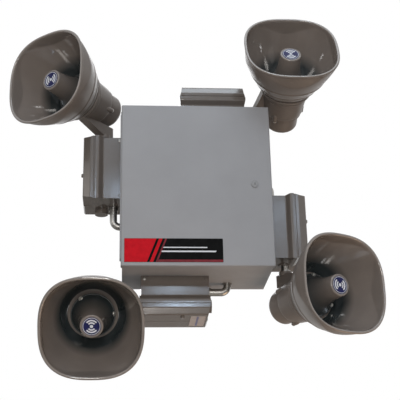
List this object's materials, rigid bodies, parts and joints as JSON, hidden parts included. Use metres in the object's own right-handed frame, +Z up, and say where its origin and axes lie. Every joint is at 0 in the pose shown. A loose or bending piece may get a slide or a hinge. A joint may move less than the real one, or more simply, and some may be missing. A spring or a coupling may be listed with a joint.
{
  "type": "outdoor warning loudspeaker cabinet",
  "caption": "Hinged grey steel wall cabinet carrying amplified re-entrant loudspeaker horns on swivels round its sides, in a pinwheel, for outdoor sirens and spoken warnings.",
  "frame": {"origin": "middle of the cabinet's flat back face, on the wall", "axes": "+Z up, front and door face -Y, +Y into the wall, +X to the right seen from the front"},
  "size_m": [0.882, 0.308, 0.9042],
  "materials": {
    "cabinet_paint": "light grey powder coat, slight texture",
    "horn_paint": "mocha gloss enamel",
    "zinc": "zinc plated steel",
    "gasket": "black sponge rubber",
    "lock": "plated lock face"
  },
  "bodies": {
    "cabinet": {"back_panel": "cabinet_paint", "top_wall": "cabinet_paint", "right_wall": "cabinet_paint", "bottom_wall": "cabinet_paint", "left_wall": "cabinet_paint", "wall_hinge_leaf": "cabinet_paint", "hinge_pin": "zinc", "top_amp_base": "horn_paint", "top_amp_cover": "horn_paint", "top_conduit": "zinc", "top_swivel": "zinc", "right_amp_base": "horn_paint", "right_amp_cover": "horn_paint", "right_conduit": "zinc", "right_swivel": "zinc", "bottom_amp_base": "horn_paint", "bottom_amp_cover": "horn_paint", "bottom_conduit": "zinc", "bottom_swivel": "zinc", "left_amp_base": "horn_paint", "left_amp_cover": "horn_paint", "left_conduit": "zinc", "left_swivel": "zinc"},
    "door": {"door_panel": "cabinet_paint", "door_gasket": "gasket", "door_lock": "lock", "door_hinge_leaf": "cabinet_paint"},
    "top_horn": {"top_bell": "horn_paint", "top_reflector": "horn_paint", "top_neck": "horn_paint", "top_driver": "horn_paint"},
    "right_horn": {"right_bell": "horn_paint", "right_reflector": "horn_paint", "right_neck": "horn_paint", "right_driver": "horn_paint"},
    "bottom_horn": {"bottom_bell": "horn_paint", "bottom_reflector": "horn_paint", "bottom_neck": "horn_paint", "bottom_driver": "horn_paint"},
    "left_horn": {"left_bell": "horn_paint", "left_reflector": "horn_paint", "left_neck": "horn_paint", "left_driver": "horn_paint"}
  },
  "joints": [
    {"name": "door_hinge", "type": "hinge", "parent": "cabinet", "child": "door", "pos_m": [-0.178, -0.1823, 0], "axis": [0, 0, -1], "range_deg": [0, 110]},
    {"name": "top_horn_swivel", "type": "hinge", "parent": "cabinet", "child": "top_horn", "pos_m": [0.234, -0.0545, 0.2485], "axis": [-1, 0, 0], "range_deg": [-9, 47]},
    {"name": "right_horn_swivel", "type": "hinge", "parent": "cabinet", "child": "right_horn", "pos_m": [0.2235, -0.0545, -0.257], "axis": [0, 0, 1], "range_deg": [-13, 43]},
    {"name": "bottom_horn_swivel", "type": "hinge", "parent": "cabinet", "child": "bottom_horn", "pos_m": [-0.24, -0.0545, -0.2485], "axis": [1, 0, 0], "range_deg": [-16, 40]},
    {"name": "left_horn_swivel", "type": "hinge", "parent": "cabinet", "child": "left_horn", "pos_m": [-0.2235, -0.0545, 0.262], "axis": [0, 0, -1], "range_deg": [-24, 32]}
  ]
}
